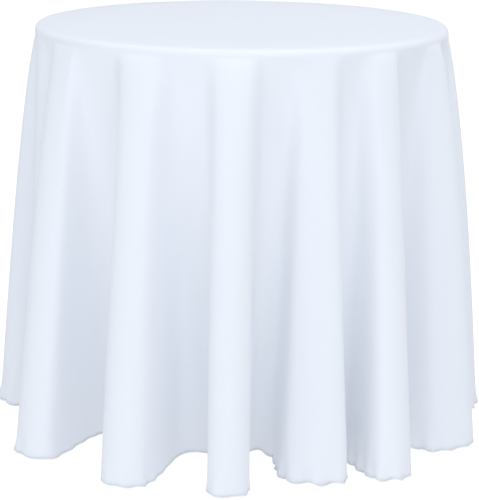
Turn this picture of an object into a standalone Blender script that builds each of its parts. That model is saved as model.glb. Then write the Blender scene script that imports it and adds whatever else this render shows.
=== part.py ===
"""A floor-length round tablecloth on a round pedestal table.

Metres, +Z up. The origin is on the floor under the middle of the table, and -Y is the front.
The cloth is cut as a flat disc. Its drop is as long as the table is high, so the hem just
clears the floor, and the rings of cloth below the table's edge, which stay as long as they
were cut, gather into deep folds.
"""
import math

import bmesh
import bpy
from mathutils import Matrix, Vector

INCH = 0.0254
GAP = 0.0003  # between pieces that touch
EDGE_GAP = 2 * GAP  # between the table's edge and the cloth, whose rings have other facets

# Driving sizes
TABLE_RADIUS = 15 * INCH
TABLE_HEIGHT = 0.765
CLOTH_RADIUS = 44.75 * INCH
CLOTH_THICKNESS = 0.0015
HEM_THREAD_RADIUS = 0.0012

# Tabletop
LAMINATE_THICKNESS = 0.0012
BOARD_THICKNESS = 0.75 * INCH
BAND_THICKNESS = 0.011
BAND_BEND = 0.010  # the radius of its rounded outer corners
BEND_STEPS = 2  # in a quarter turn, on the band and on the cloth over it

# Column, tie rod and their castings
COLUMN_RADIUS = 1.5 * INCH
COLUMN_WALL = 0.002
SOCKET_RADIUS = COLUMN_RADIUS + GAP
ROD_RADIUS = 0.008
ROD_HOLE_RADIUS = ROD_RADIUS + 2 * GAP
NUT_ACROSS_FLATS = 0.024
NUT_HEIGHT = 0.013
WASHER_RADIUS = 0.015
WASHER_THICKNESS = 0.0025
SPIDER_HUB_RADIUS = 0.046
SPIDER_RECESS_RADIUS = 0.030
SPIDER_RECESS_DEPTH = 0.019
SPIDER_FLOOR = 0.007
SPIDER_SOCKET_DEPTH = 0.014
SPIDER_ARM_REACH = 0.172
SPIDER_ARM_WIDTH = 0.034
SPIDER_ARM_THICKNESS = 0.006
SCREW_PLACES = (0.095, 0.155)  # from the middle of the table, on each arm
SCREW_HEAD_RADIUS = 0.0045
SCREW_SHANK_RADIUS = 0.0022
SCREW_LENGTH = 0.019
BASE_RADIUS = 8.5 * INCH
BASE_FLOOR_TOP = 0.052
BASE_FLOOR_BOTTOM = 0.045
BASE_COLLAR_TOP = 0.066
BASE_RIM_BOTTOM = 0.011
BASE_RECESS_RADIUS = 0.024

# Levelling glides
GLIDE_PLACE = 0.185
PAD_RADIUS = 0.0125
PAD_HEIGHT = 0.005
GLIDE_HEX = 0.013
GLIDE_HEX_HEIGHT = 0.005
GLIDE_STEM_RADIUS = 0.004
GLIDE_STEM_TOP = 0.024
BOSS_RADIUS = 0.0135
BOSS_BOTTOM = PAD_HEIGHT + GLIDE_HEX_HEIGHT + 2 * GAP
BOSS_TOP = 0.0275
GLIDE_HOLE_TOP = 0.0255

# Levels worked out from the sizes above
BOARD_TOP = TABLE_HEIGHT - LAMINATE_THICKNESS - GAP
BOARD_BOTTOM = BOARD_TOP - BOARD_THICKNESS
BOARD_RADIUS = TABLE_RADIUS - BAND_THICKNESS - GAP
SPIDER_TOP = BOARD_BOTTOM - GAP
SPIDER_FLOOR_TOP = SPIDER_TOP - SPIDER_RECESS_DEPTH
SPIDER_FLOOR_BOTTOM = SPIDER_FLOOR_TOP - SPIDER_FLOOR
SPIDER_BOTTOM = SPIDER_FLOOR_BOTTOM - SPIDER_SOCKET_DEPTH
COLUMN_BOTTOM = BASE_FLOOR_TOP + GAP
COLUMN_TOP = SPIDER_FLOOR_BOTTOM - GAP
QUARTERS = [math.radians(45 + 90 * n) for n in range(4)]

# The cloth's folds, one row each, going round from the left side by the front and back again:
# the azimuth of the fold's middle in degrees from the front towards +X, half the width of its
# lobe in degrees, the lobe's reach at the hem, how much further its +X shoulder reaches,
# how far its neck is turned and half the neck's width, and how far the fold's middle has
# drifted from the azimuth that it was cut at, all three in degrees.
FOLDS = (
    (-97, 5.5, 0.452, 0.000, 0.0, 7.0, 0.0),
    (-76, 4.0, 0.385, 0.000, 0.0, 5.0, 0.0),
    (-55, 5.5, 0.455, -0.015, -6.5, 5.0, -1.5),
    (-26.5, 5.0, 0.452, -0.012, -1.0, 6.5, 0.0),
    (-2.0, 4.3, 0.447, -0.005, -0.5, 5.6, -0.3),
    (20, 6.9, 0.402, 0.042, 1.0, 8.2, -0.3),
    (37.7, 4.2, 0.456, 0.010, 3.5, 4.8, -1.5),
    (63, 4.5, 0.448, 0.050, 2.5, 6.0, 0.8),
    (80, 4.0, 0.390, 0.000, 0.0, 5.0, 0.0),
    (97, 6.0, 0.458, 0.000, 0.0, 7.5, 0.0),
    (120, 5.5, 0.444, 0.010, 1.0, 7.0, 0.0),
    (143, 6.0, 0.440, -0.010, -1.0, 7.5, 0.0),
    (169, 5.0, 0.448, 0.000, 1.5, 6.5, 0.0),
    (193, 6.0, 0.438, 0.010, 0.0, 7.5, 0.0),
    (217, 5.5, 0.446, -0.010, -1.0, 7.0, 0.0),
    (240, 5.0, 0.442, 0.000, 1.0, 6.5, 0.0),
)
CURVE_STEPS = 12  # between two of the hem's given points
POINTS_PER_FOLD = 9
FOLD_START = 0.035  # how far down the drop the cloth stays round, clear of the edge band
FOLD_GROWTH = 0.78  # the power of the drop that a valley's depth grows with
FLARE = 0.65  # and the power that a lobe's reach grows with
DROP_ROWS = (0.02, 0.05, 0.10, 0.18, 0.30, 0.44, 0.59)


def clear_scene():
    for obj in list(bpy.data.objects):
        bpy.data.objects.remove(obj, do_unlink=True)


def new_collection(name):
    made = bpy.data.collections.new(name)
    bpy.context.scene.collection.children.link(made)
    return made


clear_scene()
PARTS = new_collection("tablecloth_on_table")
CUTTERS = new_collection("cutters")


# Materials

def material(name, color, roughness, metallic=0.0):
    made = bpy.data.materials.new(name)
    made.use_nodes = True
    shader = made.node_tree.nodes["Principled BSDF"]
    shader.inputs["Base Color"].default_value = (*color, 1.0)
    shader.inputs["Roughness"].default_value = roughness
    shader.inputs["Metallic"].default_value = metallic
    return made


CLOTH = material("white_polyester", (0.80, 0.83, 0.92), 0.75)
THREAD = material("hem_thread", (0.82, 0.85, 0.93), 0.7)
LAMINATE = material("grey_laminate", (0.55, 0.54, 0.52), 0.45)
PLYWOOD = material("birch_plywood", (0.62, 0.46, 0.28), 0.6)
BAND = material("black_vinyl", (0.03, 0.03, 0.03), 0.5)
CASTING = material("black_cast_iron", (0.025, 0.025, 0.027), 0.55, 0.4)
TUBE = material("black_painted_steel", (0.03, 0.03, 0.032), 0.35, 0.5)
ZINC = material("zinc_plated_steel", (0.62, 0.62, 0.60), 0.35, 1.0)
NYLON = material("grey_nylon", (0.20, 0.20, 0.21), 0.55)


# Shape helpers

def place(name, mesh, surface, collection=None):
    """A new object for a mesh, shaded smooth except across sharp edges."""
    mesh.materials.append(surface)
    mesh.shade_smooth()
    mesh.set_sharp_from_angle(angle=math.radians(35))
    obj = bpy.data.objects.new(name, mesh)
    (collection or PARTS).objects.link(obj)
    return obj


def turned(name, profile, surface, steps=32, at=(0, 0, 0), closed=True):
    """A ring or solid of revolution from a profile of (radius, height) points."""
    mesh = bpy.data.meshes.new(name)
    count = len(profile)
    edges = [(n, n + 1) for n in range(count - 1)]
    if closed:
        edges.append((count - 1, 0))
    mesh.from_pydata([(r, 0, z) for r, z in profile], edges, [])
    obj = bpy.data.objects.new(name, mesh)
    PARTS.objects.link(obj)
    obj.location = at
    mesh.materials.append(surface)
    screw = obj.modifiers.new("turn", "SCREW")
    screw.steps = steps
    screw.render_steps = steps
    screw.use_merge_vertices = True
    screw.merge_threshold = 0.00001
    screw.use_smooth_shade = True
    return obj


def prism(name, sides, radius, bottom, top, surface=None, at=(0, 0), turn=0.0):
    """An upright prism, or with many sides a cylinder. Without a surface it is a cutter."""
    mesh = bpy.data.meshes.new(name)
    shape = bmesh.new()
    bmesh.ops.create_cone(
        shape, cap_ends=True, segments=sides, radius1=radius, radius2=radius,
        depth=top - bottom, matrix=Matrix.Rotation(turn, 4, "Z"),
    )
    shape.to_mesh(mesh)
    shape.free()
    obj = place(name, mesh, surface or CASTING, PARTS if surface else CUTTERS)
    obj.location = (*at, (top + bottom) / 2)
    if surface is None:
        obj.hide_render = True
        obj.display_type = "WIRE"
    return obj


def combine(obj, other, operation):
    change = obj.modifiers.new(f"{operation.lower()}_{other.name}", "BOOLEAN")
    change.operation = operation
    change.object = other
    change.solver = "EXACT"


def drill(obj, name, sides, radius, bottom, top, at):
    combine(obj, prism(name, sides, radius, bottom, top, at=at), "DIFFERENCE")


def polar(radius, angle):
    return (radius * math.cos(angle), radius * math.sin(angle))


# The table

def laminate():
    return prism("top_laminate", 64, BOARD_RADIUS, TABLE_HEIGHT - LAMINATE_THICKNESS,
                 TABLE_HEIGHT, LAMINATE)


def board():
    obj = prism("tabletop_board", 64, BOARD_RADIUS, BOARD_BOTTOM, BOARD_TOP, PLYWOOD)
    pilot_top = SPIDER_TOP - SPIDER_ARM_THICKNESS + SCREW_LENGTH + 2 * GAP
    for n, at in enumerate(screw_places()):
        drill(obj, f"pilot_hole_{n + 1}", 12, SCREW_SHANK_RADIUS + GAP,
              BOARD_BOTTOM - 0.01, pilot_top, at)
    return obj


def edge_band():
    """The bullnose moulding round the tabletop, with both its outer corners rounded."""
    inner = TABLE_RADIUS - BAND_THICKNESS
    middle = TABLE_RADIUS - BAND_BEND
    profile = [(inner, BOARD_BOTTOM), (inner, TABLE_HEIGHT)]
    for n in range(BEND_STEPS + 1):
        bend = math.pi / 2 * n / BEND_STEPS
        profile.append((middle + BAND_BEND * math.sin(bend),
                        TABLE_HEIGHT - BAND_BEND * (1 - math.cos(bend))))
    for n in range(BEND_STEPS + 1):
        bend = math.pi / 2 * n / BEND_STEPS
        profile.append((middle + BAND_BEND * math.cos(bend),
                        BOARD_BOTTOM + BAND_BEND * (1 - math.sin(bend))))
    return turned("edge_band", profile, BAND, 64)


def screw_places():
    return [polar(reach, turn) for turn in QUARTERS for reach in SCREW_PLACES]


def spider():
    """The cast cross under the top: a hub with a nut recess and a socket, and four arms."""
    profile = [
        (SPIDER_RECESS_RADIUS, SPIDER_FLOOR_TOP),
        (SPIDER_RECESS_RADIUS, SPIDER_TOP),
        (SPIDER_HUB_RADIUS, SPIDER_TOP),
        (SPIDER_HUB_RADIUS, SPIDER_BOTTOM),
        (SOCKET_RADIUS, SPIDER_BOTTOM),
        (SOCKET_RADIUS, SPIDER_FLOOR_BOTTOM),
        (ROD_HOLE_RADIUS, SPIDER_FLOOR_BOTTOM),
        (ROD_HOLE_RADIUS, SPIDER_FLOOR_TOP),
    ]
    obj = turned("spider_plate", profile, CASTING, 24)
    wall_middle = (SPIDER_RECESS_RADIUS + SPIDER_HUB_RADIUS) / 2
    for n, turn in enumerate(QUARTERS):
        combine(obj, spider_arm(f"spider_arm_{n + 1}", wall_middle, turn), "UNION")
    for n, at in enumerate(screw_places()):
        drill(obj, f"screw_hole_{n + 1}", 12, SCREW_HEAD_RADIUS + GAP,
              SPIDER_TOP - SPIDER_ARM_THICKNESS - 0.01,
              SPIDER_TOP - SPIDER_ARM_THICKNESS + 0.0035, at)
        drill(obj, f"shank_hole_{n + 1}", 12, SCREW_SHANK_RADIUS + GAP,
              SPIDER_TOP - SPIDER_ARM_THICKNESS - 0.005, SPIDER_TOP + 0.01, at)
    return obj


def spider_arm(name, start, turn):
    """One arm, tapering in width towards its rounded-off end."""
    mesh = bpy.data.meshes.new(name)
    shape = bmesh.new()
    length = SPIDER_ARM_REACH - start
    bmesh.ops.create_cube(shape, size=1.0)
    for vert in shape.verts:
        vert.co.x = start + (vert.co.x + 0.5) * length
        width = SPIDER_ARM_WIDTH if vert.co.x < SPIDER_ARM_REACH / 2 else SPIDER_ARM_WIDTH * 0.7
        vert.co.y *= width
        vert.co.z = SPIDER_TOP + (vert.co.z - 0.5) * SPIDER_ARM_THICKNESS
    ends = [e for e in shape.edges
            if all(v.co.x > SPIDER_ARM_REACH / 2 for v in e.verts)
            and abs(e.verts[0].co.z - e.verts[1].co.z) > GAP]
    bmesh.ops.bevel(shape, geom=ends, offset=0.008, segments=3, affect="EDGES", profile=0.5)
    shape.to_mesh(mesh)
    shape.free()
    obj = place(name, mesh, CASTING, CUTTERS)
    obj.rotation_euler.z = turn
    obj.hide_render = True
    obj.display_type = "WIRE"
    return obj


def spider_screws():
    """Pan-head wood screws, driven upwards with their heads let into the arms."""
    underside = SPIDER_TOP - SPIDER_ARM_THICKNESS
    head_top = 0.0035 - GAP
    profile = [
        (0, SCREW_LENGTH),
        (SCREW_SHANK_RADIUS * 0.75, SCREW_LENGTH - 0.004),
        (SCREW_SHANK_RADIUS, SCREW_LENGTH - 0.008),
        (SCREW_SHANK_RADIUS, head_top),
        (SCREW_HEAD_RADIUS, head_top),
        (SCREW_HEAD_RADIUS, 0.0015),
        (SCREW_HEAD_RADIUS * 0.8, 0.0004),
        (0, 0),
    ]
    for n, (x, y) in enumerate(screw_places()):
        turned(f"spider_screw_{n + 1}", profile, ZINC, 10, (x, y, underside), closed=False)


def column():
    inner = COLUMN_RADIUS - COLUMN_WALL
    profile = [(inner, COLUMN_TOP), (COLUMN_RADIUS, COLUMN_TOP),
               (COLUMN_RADIUS, COLUMN_BOTTOM), (inner, COLUMN_BOTTOM)]
    return turned("column_tube", profile, TUBE, 36)


def tie_rod():
    return prism("tie_rod", 20, ROD_RADIUS, BASE_FLOOR_BOTTOM - WASHER_THICKNESS - NUT_HEIGHT - 0.003,
                 SPIDER_TOP - 0.002, ZINC)


def washer(name, bottom):
    bore = ROD_RADIUS + GAP
    profile = [(bore, bottom + WASHER_THICKNESS), (WASHER_RADIUS, bottom + WASHER_THICKNESS),
               (WASHER_RADIUS, bottom), (bore, bottom)]
    return turned(name, profile, ZINC, 20)


def nut(name, bottom):
    obj = prism(name, 6, NUT_ACROSS_FLATS / math.sqrt(3), bottom, bottom + NUT_HEIGHT, ZINC)
    drill(obj, f"{name}_bore", 20, ROD_RADIUS + GAP, bottom - 0.01, bottom + NUT_HEIGHT + 0.01,
          (0, 0))
    return obj


def rod_hardware():
    washer("upper_washer", SPIDER_FLOOR_TOP + GAP)
    nut("upper_nut", SPIDER_FLOOR_TOP + WASHER_THICKNESS + 2 * GAP)
    washer("lower_washer", BASE_FLOOR_BOTTOM - GAP - WASHER_THICKNESS)
    nut("lower_nut", BASE_FLOOR_BOTTOM - 2 * GAP - WASHER_THICKNESS - NUT_HEIGHT)


def base():
    """The cast disc base: a hollow dome with a collar for the column and four glide bosses."""
    profile = [
        (SOCKET_RADIUS, BASE_FLOOR_TOP), (SOCKET_RADIUS, BASE_COLLAR_TOP),
        (0.048, BASE_COLLAR_TOP), (0.051, BASE_COLLAR_TOP - 0.003),
        (0.054, 0.052), (0.062, 0.045), (0.100, 0.039), (0.160, 0.033),
        (0.200, 0.027), (0.212, 0.022), (BASE_RADIUS, 0.016), (BASE_RADIUS, BASE_RIM_BOTTOM),
        (0.207, BASE_RIM_BOTTOM), (0.200, 0.0185), (0.150, 0.0255), (0.090, 0.031),
        (0.050, 0.033), (BASE_RECESS_RADIUS, 0.033), (BASE_RECESS_RADIUS, BASE_FLOOR_BOTTOM),
        (ROD_HOLE_RADIUS, BASE_FLOOR_BOTTOM), (ROD_HOLE_RADIUS, BASE_FLOOR_TOP),
    ]
    obj = turned("base_plate", profile, CASTING, 36)
    for n, turn in enumerate(QUARTERS):
        at = polar(GLIDE_PLACE, turn)
        combine(obj, prism(f"glide_boss_{n + 1}", 16, BOSS_RADIUS, BOSS_BOTTOM, BOSS_TOP, at=at),
                "UNION")
    for n, turn in enumerate(QUARTERS):
        drill(obj, f"glide_hole_{n + 1}", 12, GLIDE_STEM_RADIUS + GAP, BOSS_BOTTOM - 0.01,
              GLIDE_HOLE_TOP, polar(GLIDE_PLACE, turn))
    return obj


def glides():
    """Four levelling glides, screwed fully in: a stem with a hexagon, and a nylon pad."""
    pad_profile = [
        (0, PAD_HEIGHT), (PAD_RADIUS * 0.75, PAD_HEIGHT), (PAD_RADIUS, PAD_HEIGHT * 0.5),
        (PAD_RADIUS, 0.0008), (PAD_RADIUS - 0.0008, 0), (0, 0),
    ]
    hex_bottom = PAD_HEIGHT + GAP
    hex_top = hex_bottom + GLIDE_HEX_HEIGHT
    for n, turn in enumerate(QUARTERS):
        x, y = polar(GLIDE_PLACE, turn)
        turned(f"glide_pad_{n + 1}", pad_profile, NYLON, 16, (x, y, 0), closed=False)
        stem = prism(f"glide_stem_{n + 1}", 6, GLIDE_HEX / math.sqrt(3), hex_bottom, hex_top, ZINC,
                     at=(x, y))
        shank = prism(f"glide_shank_{n + 1}", 12, GLIDE_STEM_RADIUS, hex_top - 0.002,
                      GLIDE_STEM_TOP, at=(x, y))
        combine(stem, shank, "UNION")


# The cloth

def smooth_through(points, per_stretch):
    """A closed Catmull-Rom curve through points, as (radius, azimuth) pairs."""
    count = len(points)
    turn = Vector((0, 2 * math.pi))

    def knot(n):
        return points[n % count] + turn * (n // count)

    curve = []
    for n in range(count):
        a, b, c, d = knot(n - 1), knot(n), knot(n + 1), knot(n + 2)
        for step in range(per_stretch):
            t = step / per_stretch
            curve.append(0.5 * (2 * b + (c - a) * t + (2 * a - 5 * b + 4 * c - d) * t * t
                                + (3 * b - a - 3 * c + d) * t ** 3))
    return curve


def flat(point):
    radius, azimuth = point
    return Vector((radius * math.sin(azimuth), -radius * math.cos(azimuth)))


def lengths_along(curve):
    """How far round each point of a closed curve is, and the whole length."""
    so_far, total = [], 0.0
    for n, point in enumerate(curve):
        so_far.append(total)
        total += (flat(curve[(n + 1) % len(curve)]) - flat(point)).length
    return so_far, total


def hem_curve(valleys):
    """The hem seen from above, with the radius of the valley after each fold."""
    points = []
    for n, (middle, half, reach, lean, neck_turn, neck_half, _) in enumerate(FOLDS):
        neck = middle + neck_turn
        points += [
            Vector((valleys[n - 1], math.radians(neck - neck_half))),
            Vector((reach - lean / 2, math.radians(middle - half))),
            Vector((reach + lean / 2, math.radians(middle + half))),
            Vector((valleys[n], math.radians(neck + neck_half))),
        ]
    return smooth_through(points, CURVE_STEPS)


def valley_radii():
    """How deep each valley is, so that the hem keeps the length that it was cut to.

    Between the middles of two neighbouring lobes there is as much hem as the flat cloth has
    between the azimuths that they were cut at.
    """
    count = len(FOLDS)
    low, high = [0.12] * count, [0.44] * count
    cut_at = [math.radians(middle - drift) for middle, *_, drift in FOLDS]
    cut_at.append(cut_at[0] + 2 * math.pi)
    lobe_middle = CURVE_STEPS * 3 // 2
    for _ in range(25):
        valleys = [(a + b) / 2 for a, b in zip(low, high)]
        so_far, total = lengths_along(hem_curve(valleys))
        lobes = [so_far[4 * CURVE_STEPS * n + lobe_middle] for n in range(count)]
        lobes.append(lobes[0] + total)
        for n in range(count):
            want = (cut_at[n + 1] - cut_at[n]) * CLOTH_RADIUS
            if lobes[n + 1] - lobes[n] > want:
                low[n] = valleys[n]
            else:
                high[n] = valleys[n]
    return valleys


def hem_points():
    """Points evenly spaced round the hem, as (radius, azimuth)."""
    curve = hem_curve(valley_radii())
    so_far, total = lengths_along(curve)
    curve.append(curve[0] + Vector((0, 2 * math.pi)))
    so_far.append(total)
    count = POINTS_PER_FOLD * len(FOLDS)
    points, at = [], 0
    for n in range(count):
        want = total * n / count
        while so_far[at + 1] < want:
            at += 1
        share = (want - so_far[at]) / (so_far[at + 1] - so_far[at])
        points.append(curve[at].lerp(curve[at + 1], share))
    return points


def smooth_step(value, low, high):
    share = min(max((value - low) / (high - low), 0.0), 1.0)
    return share * share * (3 - 2 * share)


def drop_row(hem, cut, drop, length):
    """Where the cloth's threads are, seen from above, at one distance down the drop.

    cut is where each thread leaves the table's edge, in radians of azimuth.
    """
    edge = TABLE_RADIUS + EDGE_GAP
    outward = (drop / length) ** FLARE
    inward = max(0.0, (drop - FOLD_START) / (length - FOLD_START)) ** FOLD_GROWTH
    row = []
    for (radius, azimuth), start in zip(hem, cut):
        share = smooth_step(radius, 0.33, 0.43)
        grown = share * outward + (1 - share) * inward
        row.append((edge + (radius - edge) * grown, start + (azimuth - start) * inward))
    return row


def cloth_rows():
    """The underside of the cloth, as rings of points from the rim of the top to the hem."""
    hem = hem_points()
    count = len(hem)
    spin = sum(azimuth - 2 * math.pi * n / count for n, (_, azimuth) in enumerate(hem)) / count
    cut = [spin + 2 * math.pi * n / count for n in range(count)]
    flat_radius = TABLE_RADIUS - BAND_BEND
    rows = []
    for n in range(BEND_STEPS + 1):
        bend = math.pi / 2 * n / BEND_STEPS
        radius = flat_radius + (BAND_BEND + EDGE_GAP) * math.sin(bend)
        height = TABLE_HEIGHT - BAND_BEND + (BAND_BEND + GAP) * math.cos(bend)
        rows.append([Vector((*flat((radius, azimuth)), height)) for azimuth in cut])
    length = CLOTH_RADIUS - flat_radius - BAND_BEND * math.pi / 2
    before = 0.0
    for drop in (*DROP_ROWS, length):
        seen = [flat(point) for point in drop_row(hem, cut, drop, length)]
        row = []
        for above, below in zip(rows[-1], seen):
            sideways = (below - above.xy).length
            fall = math.sqrt(max((drop - before) ** 2 - sideways ** 2, 0.0))
            row.append(Vector((*below, above.z - fall)))
        rows.append(row)
        before = drop
    return rows


def tablecloth(rows):
    mesh = bpy.data.meshes.new("tablecloth")
    shape = bmesh.new()
    rings = [[shape.verts.new(point) for point in row] for row in rows]
    shape.faces.new(rings[0])
    for upper, lower in zip(rings, rings[1:]):
        for n in range(len(upper)):
            after = (n + 1) % len(upper)
            shape.faces.new((upper[n], lower[n], lower[after], upper[after]))
    bmesh.ops.recalc_face_normals(shape, faces=shape.faces)
    shape.to_mesh(mesh)
    shape.free()
    obj = place("tablecloth", mesh, CLOTH)
    thick = obj.modifiers.new("thickness", "SOLIDIFY")
    thick.thickness = CLOTH_THICKNESS
    thick.offset = 1.0
    return obj


def hem_thread(hem_row):
    """The overlocked edge: a cord of thread all round, just under the cloth's cut edge."""
    curve = bpy.data.curves.new("hem_thread", "CURVE")
    curve.dimensions = "3D"
    curve.bevel_depth = HEM_THREAD_RADIUS
    curve.bevel_resolution = 0
    line = curve.splines.new("POLY")
    line.points.add(len(hem_row) - 1)
    line.use_cyclic_u = True
    below = Vector((0, 0, HEM_THREAD_RADIUS + 3 * GAP))
    for point, place_at in zip(line.points, hem_row):
        point.co = (*(place_at - below), 1.0)
    curve.materials.append(THREAD)
    obj = bpy.data.objects.new("hem_thread", curve)
    PARTS.objects.link(obj)
    return obj


def build():
    laminate()
    board()
    edge_band()
    spider()
    spider_screws()
    column()
    tie_rod()
    rod_hardware()
    base()
    glides()
    rows = cloth_rows()
    tablecloth(rows)
    hem_thread(rows[-1])


build()
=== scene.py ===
"""The looks of a floor-length round tablecloth on a round pedestal table.

The cloth is one flat disc of thin polyester, draped by its own lengths. Every thread keeps its
length from the table's edge down, and the hem keeps the length that it was cut to, so what the
table's edge has no room for goes into folds.
"""
import math

import bpy
import numpy as np
from mathutils import Matrix, Vector


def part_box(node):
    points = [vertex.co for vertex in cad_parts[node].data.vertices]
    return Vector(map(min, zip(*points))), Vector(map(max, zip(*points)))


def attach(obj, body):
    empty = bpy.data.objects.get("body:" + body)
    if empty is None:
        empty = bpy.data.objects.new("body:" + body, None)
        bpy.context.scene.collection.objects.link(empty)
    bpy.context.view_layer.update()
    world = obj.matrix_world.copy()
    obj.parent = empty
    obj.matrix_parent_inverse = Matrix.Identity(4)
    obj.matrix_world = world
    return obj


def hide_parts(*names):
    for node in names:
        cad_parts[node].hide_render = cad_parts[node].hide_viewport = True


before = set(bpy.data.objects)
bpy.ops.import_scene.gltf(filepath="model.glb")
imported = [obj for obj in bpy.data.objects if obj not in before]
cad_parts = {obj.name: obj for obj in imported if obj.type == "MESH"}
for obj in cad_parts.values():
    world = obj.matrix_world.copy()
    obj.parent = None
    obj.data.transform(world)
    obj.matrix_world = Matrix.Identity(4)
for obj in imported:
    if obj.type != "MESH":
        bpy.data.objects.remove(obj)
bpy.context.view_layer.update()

# Sizes taken from the frame
TABLE_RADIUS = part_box("edge_band")[1].x
TABLE_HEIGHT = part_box("top_laminate")[1].z
BAND_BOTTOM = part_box("edge_band")[0].z

# The cloth, in metres
CLOTH_RADIUS = 44.75 * 0.0254
CLOTH_THICKNESS = 0.0006
CLOTH_LIES = 0.0011  # its middle, above the table
BAND_BEND = 0.010  # the radius of the table's rounded edge
FLAT_RADIUS = TABLE_RADIUS - BAND_BEND
EDGE = TABLE_RADIUS + CLOTH_LIES
DROP = CLOTH_RADIUS - FLAT_RADIUS - BAND_BEND * math.pi / 2
FOLD_START = 0.004  # how far down the drop a valley stays round
FOLD_GROWTH = 0.78  # the power of the drop that a valley's depth grows with
FLARE = 0.65  # and the power that a lobe's reach grows with
VALLEY_RANGE = (0.12, 0.44)  # the radii that a valley's place at the hem is looked for between
VALLEY_HALVINGS = 30  # of that range

# The overlocked edge, in metres
OVERLOCK_WIDTH = 0.005
OVERLOCK_EDGE = 0.0006  # how softly its stitches begin
OVERLOCK_PITCH = 0.0025  # of the stitches that lie on the cloth
HEM_THREAD_RADIUS = 0.0011
HEM_THREAD_RIDGE = 0.12  # the share of that radius which its ridges take up
HEM_THREAD_PITCH = 0.004
HEM_THREAD_STEPS = 4  # rings of points to a stitch
HEM_THREAD_SIDES = 6

# The cloth's mesh
COLUMNS = 900
TOP_RINGS = 5
BEND_RINGS = 4
DROP_RINGS = 45
RING_SPREAD = 1.5  # more than 1 puts the rings closer together just below the table's edge
HEM_CROWDING = 0.26  # and more than 0 does so at the hem
CROWDING_POWER = 5  # the higher, the closer to the hem that this starts
CURVE_STEPS = 24  # between two of the hem's given points

# The edge band's mesh
BAND_GAP = 0.0003  # metres, between it and the board
BAND_STEPS = 6  # in each of its bends
BAND_COLUMNS = 192
BAND_CORNER = math.radians(40)  # a sharper turn than this is shaded as a corner

# The cloth's folds, one row each, going round from the left side by the front and back again:
# the azimuth of the fold's middle in degrees from the front towards +X, half the width of its
# lobe in degrees, the lobe's reach at the hem and how much further its +X shoulder reaches, both
# in metres, how far its neck is turned and half the neck's width, and how far the fold's middle
# has drifted from the azimuth that it was cut at, all three in degrees.
FOLDS = (
    (-97, 5.5, 0.452, 0.000, 0.0, 7.0, 0.0),
    (-76, 4.0, 0.385, 0.000, 0.0, 5.0, 0.0),
    (-55, 5.5, 0.455, -0.015, -6.5, 5.0, -1.5),
    (-26.5, 5.0, 0.452, -0.012, -1.0, 6.5, 0.0),
    (-2.0, 4.3, 0.447, -0.005, -0.5, 5.6, -0.3),
    (20, 6.9, 0.402, 0.042, 1.0, 8.2, -0.3),
    (37.7, 4.2, 0.456, 0.010, 3.5, 4.8, -1.5),
    (63, 4.5, 0.448, 0.050, 2.5, 6.0, 0.8),
    (80, 4.0, 0.390, 0.000, 0.0, 5.0, 0.0),
    (97, 6.0, 0.458, 0.000, 0.0, 7.5, 0.0),
    (120, 5.5, 0.444, 0.010, 1.0, 7.0, 0.0),
    (143, 6.0, 0.440, -0.010, -1.0, 7.5, 0.0),
    (169, 5.0, 0.448, 0.000, 1.5, 6.5, 0.0),
    (193, 6.0, 0.438, 0.010, 0.0, 7.5, 0.0),
    (217, 5.5, 0.446, -0.010, -1.0, 7.0, 0.0),
    (240, 5.0, 0.442, 0.000, 1.0, 6.5, 0.0),
)

# Where the folds' middles were cut, in radians, with the first one again after a whole turn, and
# the gaps between them, in degrees
CUT_MIDDLES = np.radians([middle - drift for middle, *_, drift in FOLDS])
CUT_MIDDLES = np.append(CUT_MIDDLES, CUT_MIDDLES[0] + 2 * math.pi)
GAPS = np.degrees(np.diff(CUT_MIDDLES))

# Half the lobes' widths at the table's edge, in degrees
TOP_SHARE = 0.15  # of the mean of the gaps on its two sides
TOP_WIDTHS = TOP_SHARE * (GAPS + np.roll(GAPS, 1)) / 2
NECK_TO_LOBE = 2.3  # and a neck's width there, as a share of its lobe's

# Irregular waves round the cloth: the fewest and the most of them that go round, and their size
MIDDLE_SWAY = (9, 40, 0.0016)  # metres in and out, half way down the drop
MIDDLE_TURN = (5, 22, 0.0035)  # radians to the side, half way down the drop
LOW_SWAY = (20, 70, 0.0012)  # metres in and out, at the hem
HEM_SIZE_SWAY = (8, 30, 1.0)  # a share of the hem waves' size
HEM_PHASE_SWAY = (3, 40, 1.4)  # radians of the hem waves' phase

# The waves of the overlocked edge, in metres
HEM_WAVE_LENGTH = 0.038
HEM_WAVE_SIZE = 0.0022
HEM_WAVE_VARIES = 0.5  # the share of that size which changes round the hem
HEM_WAVE_RANGE = (0.0005, 0.010)
HEM_WAVE_FADES = 0.018  # above the hem
HEM_FADE_POWER = 1.2
HEM_LIFT = 0.45  # a wave's rise, as a share of its way out
HEM_LIFT_PHASE = 1.1  # radians that the rise is ahead by

# Where it waves more or less: azimuth and width in degrees, and how much, in metres
HEM_WAVES = (
    (-95, 6, 0.004),
    (-60, 4, 0.004),
    (-27, 9, -0.0014),
    (-2, 5, 0.0025),
    (9, 4, 0.003),
    (18, 8, 0.006),
    (36, 3, 0.006),
    (96, 6, 0.005),
    (130, 9, 0.004),
    (175, 10, 0.004),
    (-150, 9, 0.005),
    (-118, 6, 0.003),
)

# The camera, in metres from the middle of the tabletop, and its lens in millimetres
CAMERA_AWAY = 3.30
CAMERA_UP = 0.394
CAMERA_DOWN = math.radians(14.14)
CAMERA_ROLL = math.radians(0.6)
CAMERA_LENS = 133.4
CAMERA_SENSOR = 36

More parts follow.
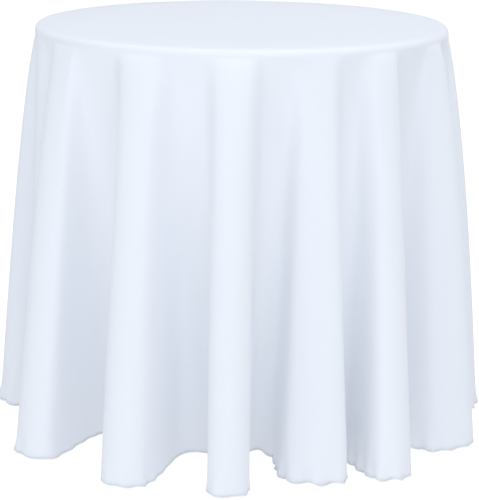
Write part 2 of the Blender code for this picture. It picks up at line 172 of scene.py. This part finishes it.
# The light: each softbox's place and size in metres, its watts, and the height it is aimed at
LIGHT_COLOR = (0.862, 0.909, 1.0)
WORLD_STRENGTH = 0.19
SWEEP_GIVES = 0.52  # the strength of the light that the sweep gives
SWEEP_SHOWS = 1.05  # and the strength that the camera sees it as, which is plain white
VIEW_GAMMA = 1.5
SOFTBOXES = (
    ("front softbox", (-0.4, -4.9, 2.1), 3.4, 52, 0.4),
    ("left softbox", (-4.0, -3.2, 1.8), 2.8, 46, 0.4),
    ("right softbox", (2.2, -4.4, 1.8), 2.8, 36, 0.4),
    ("top softbox", (0.6, -0.3, 4.6), 1.8, 99, 0.76),
)

chance = np.random.default_rng(11)


# The cloth's shape

def flat(points):
    """(radius, azimuth) pairs as (x, y); the azimuth counts from the front towards +X."""
    radius, azimuth = points[..., 0], points[..., 1]
    return np.stack([radius * np.sin(azimuth), -radius * np.cos(azimuth)], -1)


def fold_curve(valleys, down=1.0):
    """The cloth cut level, seen from above, as a smooth closed curve of (radius, azimuth).

    down is how far down the drop the cut is, from 0 to 1, and valleys are the radii at the hem.
    """
    points = []
    outward = down ** FLARE
    inward = down ** FOLD_GROWTH
    valleys = EDGE + (valleys - EDGE) * inward
    for n, (middle, half, reach, lean, neck_turn, neck_half, drift) in enumerate(FOLDS):
        middle = middle - drift * (1 - down)
        half = half * down + TOP_WIDTHS[n] * (1 - down)
        neck_half = neck_half * down + TOP_WIDTHS[n] * NECK_TO_LOBE * (1 - down)
        neck = middle + neck_turn * down
        reach = EDGE + (reach - EDGE) * outward
        lean = lean / 2 * outward
        points += [
            (valleys[n - 1], math.radians(neck - neck_half)),
            (reach - lean, math.radians(middle - half)),
            (reach + lean, math.radians(middle + half)),
            (valleys[n], math.radians(neck + neck_half)),
        ]
    here = np.array(points)
    turn = np.array([0, 2 * math.pi])
    before = np.vstack([here[-1:] - turn, here[:-1]])
    after = np.vstack([here[1:], here[:1] + turn])
    later = np.vstack([here[2:], here[:2] + turn])

    # A cubic from each point to the next, setting off along the line between its neighbours
    t = (np.arange(CURVE_STEPS) / CURVE_STEPS)[None, :, None]
    a, b, c, d = (p[:, None, :] for p in (before, here, after, later))
    curve = 0.5 * (
        2 * b
        + (c - a) * t
        + (2 * a - 5 * b + 4 * c - d) * t ** 2
        + (3 * b - a - 3 * c + d) * t ** 3
    )
    return np.vstack([curve.reshape(-1, 2), curve[0, :1] + turn])


def lengths_along(curve):
    steps = np.linalg.norm(np.diff(flat(curve), axis=0), axis=1)
    return np.concatenate([[0], np.cumsum(steps)])


def lengths_at_lobes(along):
    """How far round a curve each fold's middle is, and the first one again after a whole turn."""
    lobes = (4 * np.arange(len(FOLDS) + 1) + 1.5) * CURVE_STEPS
    twice = np.concatenate([along, along[-1] + along[1:]])
    return np.interp(lobes, np.arange(len(twice)), twice)


def valley_radii():
    """How deep each valley is, so that the hem keeps the length that it was cut to."""
    want = np.diff(CUT_MIDDLES) * CLOTH_RADIUS
    low, high = (np.full(len(FOLDS), radius) for radius in VALLEY_RANGE)
    for _ in range(VALLEY_HALVINGS):
        valleys = (low + high) / 2
        have = np.diff(lengths_at_lobes(lengths_along(fold_curve(valleys))))
        low = np.where(have > want, valleys, low)
        high = np.where(have > want, high, valleys)
    return valleys


def level_ring(valleys, down, cut):
    """Where the threads cut at those azimuths pass that level, as (radius, azimuth).

    Between the middles of two folds the threads are spread evenly along the cloth.
    """
    curve = fold_curve(valleys, down)
    along = lengths_along(curve)
    places = np.interp(cut, CUT_MIDDLES, lengths_at_lobes(along))
    turns = np.floor(places / along[-1])
    places = places - turns * along[-1]
    radius, azimuth = (np.interp(places, along, curve[:, k]) for k in (0, 1))
    return np.stack([radius, azimuth + 2 * math.pi * turns], -1)


def sway(cut, slowest, fastest, size):
    """A gentle irregular wave round the cloth, of about that size."""
    waves = np.arange(slowest, fastest + 1)
    phases = chance.uniform(0, 2 * math.pi, len(waves))
    sizes = chance.uniform(0.5, 1, len(waves))
    wave = (sizes[:, None] * np.sin(waves[:, None] * cut + phases[:, None])).sum(0)
    return size * wave / math.sqrt((sizes ** 2).sum() / 2)


def band_outline(drop):
    """The edge band's radius that far below its upper bend: upright, then rounded under."""
    to_bottom = TABLE_HEIGHT - BAND_BEND - drop - BAND_BOTTOM
    if to_bottom < 0:
        return 0
    below_bend = max(0, BAND_BEND - to_bottom)
    return FLAT_RADIUS + math.sqrt(BAND_BEND ** 2 - below_bend ** 2)


def ring_drops():
    """How far down the drop each ring is."""
    share = np.arange(1, DROP_RINGS + 1) / DROP_RINGS
    crowded = HEM_CROWDING * share ** CROWDING_POWER
    return DROP * ((1 + HEM_CROWDING) * share ** RING_SPREAD - crowded)


def round_ring(radius, cut):
    """A round ring of the cloth, as (x, y)."""
    return flat(np.stack([np.full(COLUMNS, radius), cut], -1))


def rings_over_the_table(cut):
    """The rings on the tabletop and round its edge, and the radius that each was cut at."""
    rings, radii = [], []
    for radius in FLAT_RADIUS * np.arange(1, TOP_RINGS + 1) / TOP_RINGS:
        level = TABLE_HEIGHT + CLOTH_LIES
        rings.append(np.c_[round_ring(radius, cut), np.full(COLUMNS, level)])
        radii.append(radius)
    bend = BAND_BEND + CLOTH_LIES
    for turned in math.pi / 2 * np.arange(1, BEND_RINGS + 1) / BEND_RINGS:
        radius = FLAT_RADIUS + bend * math.sin(turned)
        level = TABLE_HEIGHT - BAND_BEND + bend * math.cos(turned)
        rings.append(np.c_[round_ring(radius, cut), np.full(COLUMNS, level)])
        radii.append(FLAT_RADIUS + BAND_BEND * turned)
    return rings, radii


def draped_rings():
    """The cloth's middle surface, ring by ring from the table's middle to the hem.

    With it come the radius that each ring was cut at, and the azimuth that each column was.
    """
    cut = CUT_MIDDLES[0] + 2 * math.pi * np.arange(COLUMNS) / COLUMNS
    rings, radii = rings_over_the_table(cut)
    valleys = valley_radii()
    middle_sway = sway(cut, *MIDDLE_SWAY)
    middle_turn = sway(cut, *MIDDLE_TURN)
    low_sway = sway(cut, *LOW_SWAY)
    above = 0
    for drop in ring_drops():
        down = max(0, drop - FOLD_START) / (DROP - FOLD_START)
        belly = math.sin(math.pi * down)
        ring = level_ring(valleys, down, cut)
        ring[:, 0] += middle_sway * belly + low_sway * down ** 2
        ring[:, 1] += middle_turn * belly
        ring[:, 0] = np.maximum(ring[:, 0], band_outline(drop) + CLOTH_LIES)
        plan = flat(ring)
        side = np.linalg.norm(plan - rings[-1][:, :2], axis=1)
        fall = np.sqrt(np.maximum((drop - above) ** 2 - side ** 2, 0))
        rings.append(np.c_[plan, rings[-1][:, 2] - fall])
        radii.append(CLOTH_RADIUS - DROP + drop)
        above = drop
    return np.array(rings), np.array(radii), cut


def ring_normals(ring):
    """Level directions square to a ring, pointing out of the cloth."""
    along = np.roll(ring, -1, 0) - np.roll(ring, 1, 0)
    normals = np.c_[along[:, 1], -along[:, 0]]
    return normals / np.linalg.norm(normals, axis=1)[:, None]


def wave_the_hem(rings, radii):
    """The overlocked edge is a little longer than the cloth beside it, so it waves."""
    hem = rings[-1].copy()
    steps = np.linalg.norm(np.roll(hem, -1, 0) - hem, axis=1)
    along = np.concatenate([[0], np.cumsum(steps)[:-1]])
    turns = 2 * math.pi * np.arange(COLUMNS) / COLUMNS
    azimuth = np.degrees(np.arctan2(hem[:, 0], -hem[:, 1]))
    size = HEM_WAVE_SIZE * (1 + HEM_WAVE_VARIES * sway(turns, *HEM_SIZE_SWAY))
    for middle, width, extra in HEM_WAVES:
        away = (azimuth - middle + 180) % 360 - 180
        size = size + extra * np.exp(-(away / width) ** 2)
    size = np.clip(size, *HEM_WAVE_RANGE)
    phase = 2 * math.pi * along / HEM_WAVE_LENGTH + sway(turns, *HEM_PHASE_SWAY)
    wave = size * np.sin(phase)
    lift = size * np.sin(phase + HEM_LIFT_PHASE)
    normals = ring_normals(hem)
    for n, radius in enumerate(radii):
        near = math.exp(-((CLOTH_RADIUS - radius) / HEM_WAVE_FADES) ** HEM_FADE_POWER)
        rings[n, :, :2] += normals * (wave * near)[:, None]
        rings[n, :, 2] += HEM_LIFT * lift * near


def mesh_object(name, points, faces, uv=None):
    """A smooth-shaded object in the scene; uv is each point's place on the flat cloth."""
    mesh = bpy.data.meshes.new(name)
    mesh.from_pydata(points, [], faces)
    if uv is not None:
        layer = mesh.uv_layers.new(name="flat cloth")
        loops = np.empty(len(mesh.loops), dtype=np.int32)
        mesh.loops.foreach_get("vertex_index", loops)
        layer.data.foreach_set("uv", uv[loops].astype(np.float32).ravel())
    mesh.shade_smooth()
    mesh.update()
    made = bpy.data.objects.new(name, mesh)
    bpy.context.scene.collection.objects.link(made)
    return made


def band_faces(rings, columns):
    """Quads between rings of the same number of points, numbered ring by ring."""
    faces = []
    for ring in range(rings - 1):
        a, b = ring * columns, (ring + 1) * columns
        for n in range(columns):
            after = (n + 1) % columns
            faces.append((a + n, b + n, b + after, a + after))
    return faces


def tablecloth():
    """The draped cloth, with its flat shape as its UVs, and the line of its hem."""
    rings, radii, cut = draped_rings()
    wave_the_hem(rings, radii)
    count = len(rings)
    faces = band_faces(count, COLUMNS)
    middle = count * COLUMNS
    faces += [(middle, n, (n + 1) % COLUMNS) for n in range(COLUMNS)]
    points = np.vstack([rings.reshape(-1, 3), [0, 0, rings[0, 0, 2]]])
    uv = np.vstack([round_ring(radius, cut) for radius in radii] + [np.zeros((1, 2))])
    made = mesh_object("draped_tablecloth", points.tolist(), faces, uv)
    shell = made.modifiers.new("thickness", "SOLIDIFY")
    shell.thickness = CLOTH_THICKNESS
    shell.offset = 0
    return made, rings[-1]


def rounded_band():
    """The moulding round the tabletop, with finer bends than the CAD's."""
    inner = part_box("tabletop_board")[1].x + BAND_GAP
    bends = math.pi / 2 * np.arange(BAND_STEPS + 1) / BAND_STEPS
    profile = [(inner, BAND_BOTTOM), (inner, TABLE_HEIGHT)]
    for bend in bends:
        across, up = math.sin(bend), math.cos(bend)
        profile.append((FLAT_RADIUS + BAND_BEND * across, TABLE_HEIGHT - BAND_BEND * (1 - up)))
    for bend in bends:
        across, down = math.cos(bend), math.sin(bend)
        profile.append((FLAT_RADIUS + BAND_BEND * across, BAND_BOTTOM + BAND_BEND * (1 - down)))
    angles = 2 * math.pi * np.arange(BAND_COLUMNS) / BAND_COLUMNS
    points = [(r * math.cos(t), r * math.sin(t), z) for r, z in profile for t in angles]
    # One ring more than the profile has, counted round, so that its end joins its start
    faces = band_faces(len(profile) + 1, BAND_COLUMNS)
    faces = [[n % len(points) for n in face] for face in faces]
    made = mesh_object("rounded_edge_band", points, faces)
    made.data.set_sharp_from_angle(angle=BAND_CORNER)
    return made


def hem_thread(hem):
    """The overlock thread wound round the cut edge, stitch by stitch."""
    steps = np.linalg.norm(np.roll(hem, -1, 0) - hem, axis=1)
    along = np.concatenate([[0], np.cumsum(steps)])
    whole = np.vstack([hem, hem[:1]])
    stitches = round(along[-1] / HEM_THREAD_PITCH)
    count = stitches * HEM_THREAD_STEPS
    places = np.arange(count) / count * along[-1]
    line = np.stack([np.interp(places, along, whole[:, k]) for k in range(3)], -1)
    ahead = np.roll(line, -1, 0) - np.roll(line, 1, 0)
    ahead /= np.linalg.norm(ahead, axis=1)[:, None]
    out = np.cross(ahead, [0, 0, 1])
    out /= np.linalg.norm(out, axis=1)[:, None]
    up = np.cross(out, ahead)
    stitch = 2 * math.pi * np.arange(count) / HEM_THREAD_STEPS
    points = np.empty((count, HEM_THREAD_SIDES, 3))
    for n in range(HEM_THREAD_SIDES):
        angle = 2 * math.pi * n / HEM_THREAD_SIDES
        ridge = 1 - HEM_THREAD_RIDGE + HEM_THREAD_RIDGE * np.cos(stitch - angle)
        radius = HEM_THREAD_RADIUS * ridge
        points[:, n] = line + radius[:, None] * (math.cos(angle) * out + math.sin(angle) * up)
    faces = []
    for ring in range(count):
        here = ring * HEM_THREAD_SIDES
        after = (ring + 1) % count * HEM_THREAD_SIDES
        for n in range(HEM_THREAD_SIDES):
            m = (n + 1) % HEM_THREAD_SIDES
            faces.append((here + n, here + m, after + m, after + n))
    return mesh_object("overlocked_hem", points.reshape(-1, 3).tolist(), faces)


# Materials

class Look:
    """A material under construction: its node tree, and short ways to add and join nodes."""

    def __init__(self, name, color, roughness, **sockets):
        self.material = bpy.data.materials.new(name)
        self.material.use_nodes = True
        self.nodes = self.material.node_tree.nodes
        self.links = self.material.node_tree.links
        self.shader = self.nodes["Principled BSDF"]
        self.shader.inputs["Base Color"].default_value = (*color, 1)
        self.shader.inputs["Roughness"].default_value = roughness
        for socket, value in sockets.items():
            self.shader.inputs[socket.replace("_", " ")].default_value = value

    def put(self, kind, settings=None, **inputs):
        node = self.nodes.new("ShaderNode" + kind)
        for name, value in (settings or {}).items():
            setattr(node, name, value)
        for name, value in inputs.items():
            self.feed(node, name.replace("_", " "), value)
        return node

    def feed(self, node, socket, value):
        slot = node.inputs[int(socket)] if socket.isdigit() else node.inputs[socket]
        if isinstance(value, bpy.types.NodeSocket):
            self.links.new(value, slot)
        else:
            slot.default_value = value

    def math(self, operation, a, b=0.0):
        node = self.nodes.new("ShaderNodeMath")
        node.operation = operation
        self.feed(node, "0", a)
        self.feed(node, "1", b)
        return node.outputs[0]

    def place(self, kind="Object", scale=(1, 1, 1)):
        source = self.put("TexCoord").outputs[kind]
        return self.put("Mapping", Vector=source, Scale=scale).outputs[0]

    def noise(self, place, scale, detail=2.0, roughness=0.5):
        node = self.put("TexNoise", Vector=place, Scale=scale, Detail=detail, Roughness=roughness)
        return node.outputs[0]

    def spread(self, value, low, high, start=0.0, end=1.0):
        """value, from low to high, becomes start to end."""
        node = self.nodes.new("ShaderNodeMapRange")
        for socket, given in zip(("0", "1", "2", "3", "4"), (value, low, high, start, end)):
            self.feed(node, socket, given)
        return node.outputs[0]

    def between(self, share, first, second):
        node = self.nodes.new("ShaderNodeMix")
        node.data_type = "RGBA"
        self.feed(node, "0", share)
        for socket, color in (("6", first), ("7", second)):
            is_color = isinstance(color, tuple)
            self.feed(node, socket, (*color, 1) if is_color else color)
        return node.outputs[2]

    def finish(self, color=None, roughness=None, bumps=()):
        """Joins a colour, a roughness and bumps of (height, distance) to the shader."""
        if color is not None:
            self.feed(self.shader, "Base Color", color)
        if roughness is not None:
            self.feed(self.shader, "Roughness", roughness)
        normal = None
        for height, distance in bumps:
            bump = self.put("Bump", Height=height, Distance=distance)
            if normal is not None:
                self.feed(bump, "Normal", normal)
            normal = bump.outputs[0]
        if normal is not None:
            self.feed(self.shader, "Normal", normal)
        return self.material


def cloth_look():
    """Plain-woven spun polyester with an overlocked band along its edge."""
    look = Look("polyester cloth", (0.88, 0.91, 0.95), 0.8, Sheen_Weight=0.25, Sheen_Roughness=0.5)
    spot = look.put("UVMap", {"uv_map": "flat cloth"}).outputs[0]
    split = look.put("SeparateXYZ", Vector=spot)
    x, y = split.outputs[0], split.outputs[1]
    two_threads = 0.0009
    warp = look.math("SINE", look.math("MULTIPLY", x, 2 * math.pi / two_threads))
    weft = look.math("SINE", look.math("MULTIPLY", y, 2 * math.pi / two_threads))
    weave = look.math("MULTIPLY", warp, weft)
    slub_x = look.noise(look.put("Mapping", Vector=spot, Scale=(2500, 60, 1)).outputs[0], 1.0)
    slub_y = look.noise(look.put("Mapping", Vector=spot, Scale=(60, 2500, 1)).outputs[0], 1.0)
    slubs = look.math("ADD", slub_x, slub_y)

    squares = look.math("ADD", look.math("MULTIPLY", x, x), look.math("MULTIPLY", y, y))
    out = look.math("SQRT", squares)
    overlock_starts = CLOTH_RADIUS - OVERLOCK_WIDTH
    band = look.spread(out, overlock_starts, overlock_starts + OVERLOCK_EDGE)
    angle = look.math("ARCTAN2", y, x)
    per_radian = 2 * math.pi * CLOTH_RADIUS / OVERLOCK_PITCH
    stitch = look.math("SINE", look.math("MULTIPLY", angle, per_radian))
    stitches = look.math("MULTIPLY", look.spread(stitch, -1, 1), band)

    shade = look.between(look.spread(slubs, 0.6, 1.4), (0.865, 0.895, 0.945), (0.90, 0.925, 0.96))
    dye = look.noise(spot, 7.0, 3.0)
    shade = look.between(look.spread(dye, 0.3, 0.7, 0, 0.25), shade, (0.855, 0.89, 0.945))
    shade = look.between(look.math("MULTIPLY", stitches, 0.5), shade, (0.88, 0.90, 0.95))
    rough = look.spread(slubs, 0.6, 1.4, 0.72, 0.86)
    creases = look.noise(spot, 28.0, 4.0, 0.55)
    return look.finish(shade, rough, [
        (creases, 0.0006),
        (slubs, 0.00006),
        (weave, 0.00005),
        (stitches, 0.0005),
    ])


def thread_look():
    """Twisted polyester thread."""
    look = Look("polyester thread", (0.86, 0.88, 0.94), 0.55, Sheen_Weight=0.2)
    place = look.place()
    strands = look.noise(place, 900.0, 2.0)
    shade = look.between(strands, (0.82, 0.85, 0.92), (0.88, 0.90, 0.95))
    return look.finish(shade, look.spread(strands, 0.3, 0.7, 0.45, 0.65), [(strands, 0.0002)])


def laminate_look():
    """Light grey laminate with a fine fleck and a stippled surface."""
    look = Look("grey laminate", (0.55, 0.54, 0.52), 0.4)
    place = look.place()
    fleck = look.noise(place, 420.0, 3.0, 0.7)
    cloud = look.noise(place, 14.0, 4.0)
    shade = look.between(look.spread(fleck, 0.45, 0.6), (0.50, 0.49, 0.47), (0.60, 0.59, 0.57))
    shade = look.between(look.spread(cloud, 0.3, 0.7, 0, 0.35), shade, (0.48, 0.47, 0.44))
    scuffs = look.noise(look.place("Object", (1, 9, 1)), 30.0, 6.0, 0.7)
    rough = look.spread(scuffs, 0.35, 0.65, 0.34, 0.5)
    return look.finish(shade, rough, [(fleck, 0.00008)])


def plywood_look():
    """Birch plywood: rotary-cut face grain, and dark and light plies through the edge."""
    two_plies = 0.0029
    look = Look("birch plywood", (0.62, 0.46, 0.28), 0.55)
    grain_place = look.place("Object", (2.2, 26, 26))
    wander = look.noise(grain_place, 3.0, 6.0, 0.62)
    rings = look.math("SINE", look.math("MULTIPLY", wander, 34.0))
    shade = look.between(look.spread(rings, -1, 1), (0.58, 0.41, 0.23), (0.68, 0.52, 0.33))
    pores = look.noise(look.place("Object", (40, 900, 900)), 1.0, 3.0)
    shade = look.between(look.spread(pores, 0.52, 0.66, 0, 0.5), shade, (0.40, 0.26, 0.13))
    height = look.put("SeparateXYZ", Vector=look.place()).outputs[2]
    ply = look.math("SINE", look.math("MULTIPLY", height, 2 * math.pi / two_plies))
    shade = look.between(look.spread(ply, 0.2, 0.6, 0, 0.28), shade, (0.36, 0.23, 0.12))
    return look.finish(shade, look.spread(wander, 0.3, 0.7, 0.48, 0.66), [(pores, 0.0002)])


def vinyl_look():
    """Black vinyl edging, pebbled and rubbed paler along its middle."""
    look = Look("black vinyl", (0.03, 0.03, 0.03), 0.5, Specular_IOR_Level=0.3)
    place = look.place()
    pebble = look.noise(place, 700.0, 3.0)
    scuff = look.noise(look.place("Object", (6, 6, 40)), 5.0, 6.0, 0.7)
    shade = look.between(look.spread(scuff, 0.5, 0.75), (0.024, 0.024, 0.026), (0.07, 0.07, 0.07))
    return look.finish(shade, look.spread(scuff, 0.35, 0.7, 0.42, 0.62), [(pebble, 0.00015)])


def casting_look():
    """Cast iron under black paint: sand texture, with the paint worn on corners."""
    look = Look("painted cast iron", (0.025, 0.025, 0.027), 0.6, Specular_IOR_Level=0.3)
    place = look.place()
    sand = look.noise(place, 260.0, 5.0, 0.6)
    lumps = look.noise(place, 30.0, 3.0)
    worn = look.spread(look.put("NewGeometry").outputs["Pointiness"], 0.52, 0.58)
    patches = look.spread(look.noise(place, 55.0, 5.0), 0.45, 0.6, 0, 0.35)
    worn = look.math("MULTIPLY", worn, patches)
    dark, less_dark = (0.020, 0.020, 0.022), (0.036, 0.036, 0.038)
    shade = look.between(look.spread(lumps, 0.3, 0.7), dark, less_dark)
    shade = look.between(worn, shade, (0.16, 0.15, 0.14))
    rough = look.spread(sand, 0.3, 0.7, 0.5, 0.72)
    return look.finish(shade, rough, [(lumps, 0.0008), (sand, 0.0004)])


def tube_look():
    """Powder-coated steel tube, with its orange peel and a few fine scratches."""
    look = Look("powder-coated steel", (0.03, 0.03, 0.032), 0.4, Specular_IOR_Level=0.4)
    peel = look.noise(look.place(), 340.0, 2.0)
    rub = look.noise(look.place("Object", (3, 3, 60)), 7.0, 6.0, 0.75)
    coat, rubbed = (0.028, 0.028, 0.030), (0.075, 0.075, 0.078)
    shade = look.between(look.spread(rub, 0.62, 0.72), coat, rubbed)
    return look.finish(shade, look.spread(rub, 0.4, 0.7, 0.33, 0.5), [(peel, 0.0002)])


def zinc_look():
    """Bright zinc plating: crystalline patches over fine turning marks."""
    look = Look("zinc-plated steel", (0.62, 0.62, 0.60), 0.35, Metallic=1.0)
    place = look.place()
    patches = look.put("TexVoronoi", Vector=place, Scale=330.0).outputs["Color"]
    shade = look.between(look.spread(patches, 0, 1), (0.50, 0.51, 0.52), (0.70, 0.69, 0.64))
    turned = look.noise(look.place("Object", (1, 1, 60)), 60.0, 3.0)
    return look.finish(shade, look.spread(turned, 0.3, 0.7, 0.25, 0.48), [(turned, 0.0001)])


def nylon_look():
    """Moulded grey nylon, slightly clouded and gritty."""
    look = Look("grey nylon", (0.20, 0.20, 0.21), 0.5)
    place = look.place()
    cloud = look.noise(place, 120.0, 4.0)
    grit = look.noise(place, 1500.0, 2.0)
    shade = look.between(look.spread(cloud, 0.3, 0.7), (0.17, 0.17, 0.18), (0.24, 0.24, 0.25))
    return look.finish(shade, look.spread(grit, 0.3, 0.7, 0.42, 0.6), [(grit, 0.0001)])


def paint_the_table():
    """Gives each of the CAD's own pieces its material."""
    zinc = zinc_look()
    casting = casting_look()
    looks = {
        "top_laminate": laminate_look(),
        "tabletop_board": plywood_look(),
        "spider_plate": casting,
        "spider_screw": zinc,
        "column_tube": tube_look(),
        "tie_rod": zinc,
        "upper_": zinc,
        "lower_": zinc,
        "base_plate": casting,
        "glide_stem": zinc,
        "glide_pad": nylon_look(),
    }
    for node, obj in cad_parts.items():
        for start, look in looks.items():
            if node.startswith(start):
                for slot in obj.material_slots:
                    slot.material = look


# Stage, light and camera

def aim(obj, target):
    obj.rotation_euler = (Vector(target) - obj.location).to_track_quat("-Z", "Y").to_euler()


def softbox(name, place, size, power, height):
    """A square light, aimed at the object's axis at that height."""
    data = bpy.data.lights.new(name, "AREA")
    data.energy = power
    data.size = size
    data.color = LIGHT_COLOR
    lamp = bpy.data.objects.new(name, data)
    bpy.context.scene.collection.objects.link(lamp)
    lamp.location = place
    aim(lamp, (0, 0, height))


def sweep():
    """A white floor that turns up into a round wall, lit so that it stays plain white."""
    columns, cove_steps = 96, 12
    hub_radius, inner_radius, floor_radius = 0.02, 1.0, 8.0
    cove_radius, wall_top = 1.0, 5.0
    profile = [(hub_radius, 0), (inner_radius, 0), (floor_radius, 0)]
    for step in range(1, cove_steps + 1):
        turned = math.pi / 2 * step / cove_steps
        across = cove_radius * math.sin(turned)
        profile.append((floor_radius + across, cove_radius * (1 - math.cos(turned))))
    profile.append((floor_radius + cove_radius, wall_top))
    angles = 2 * math.pi * np.arange(columns) / columns
    points = [(r * math.cos(t), r * math.sin(t), z) for r, z in profile for t in angles]
    faces = band_faces(len(profile), columns) + [tuple(range(columns))]
    made = mesh_object("studio_sweep", points, faces)
    look = Look("white sweep", (0.25, 0.25, 0.25), 0.9)
    seen = look.put("LightPath").outputs["Is Camera Ray"]
    look.feed(look.shader, "Emission Color", look.between(seen, LIGHT_COLOR, (1.0, 1.0, 1.0)))
    strength = look.spread(seen, 0, 1, SWEEP_GIVES, SWEEP_SHOWS)
    look.feed(look.shader, "Emission Strength", strength)
    made.data.materials.append(look.material)


def studio():
    """Soft light from all round, four softboxes, and the sweep that the table stands on."""
    world = bpy.data.worlds.new("soft white room")
    bpy.context.scene.world = world
    world.use_nodes = True
    sky = world.node_tree.nodes["Background"]
    sky.inputs["Color"].default_value = (*LIGHT_COLOR, 1)
    sky.inputs["Strength"].default_value = WORLD_STRENGTH
    for row in SOFTBOXES:
        softbox(*row)
    sweep()
    bpy.context.scene.view_settings.view_transform = "Standard"
    bpy.context.scene.view_settings.gamma = VIEW_GAMMA


def camera():
    """The camera, looking down a little and rolled a little, from straight in front."""
    data = bpy.data.cameras.new("camera")
    data.sensor_fit = "HORIZONTAL"
    data.sensor_width = CAMERA_SENSOR
    data.lens = CAMERA_LENS
    made = bpy.data.objects.new("camera", data)
    bpy.context.scene.collection.objects.link(made)
    made.location = (0, -CAMERA_AWAY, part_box("tablecloth")[1].z + CAMERA_UP)
    tilt = Matrix.Rotation(math.pi / 2 - CAMERA_DOWN, 3, "X")
    made.rotation_euler = (tilt @ Matrix.Rotation(CAMERA_ROLL, 3, "Z")).to_euler()
    bpy.context.scene.camera = made


camera()
studio()
paint_the_table()

cloth, hem_line = tablecloth()
cloth.data.materials.append(cloth_look())
thread = hem_thread(hem_line)
thread.data.materials.append(thread_look())
band = rounded_band()
band.data.materials.append(vinyl_look())
for piece, body, node, slot in (
    (cloth, "cloth", "tablecloth", "cloth"),
    (thread, "cloth", "hem_thread", "thread"),
    (band, "table", "edge_band", "vinyl"),
):
    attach(piece, body)
    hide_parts(node)
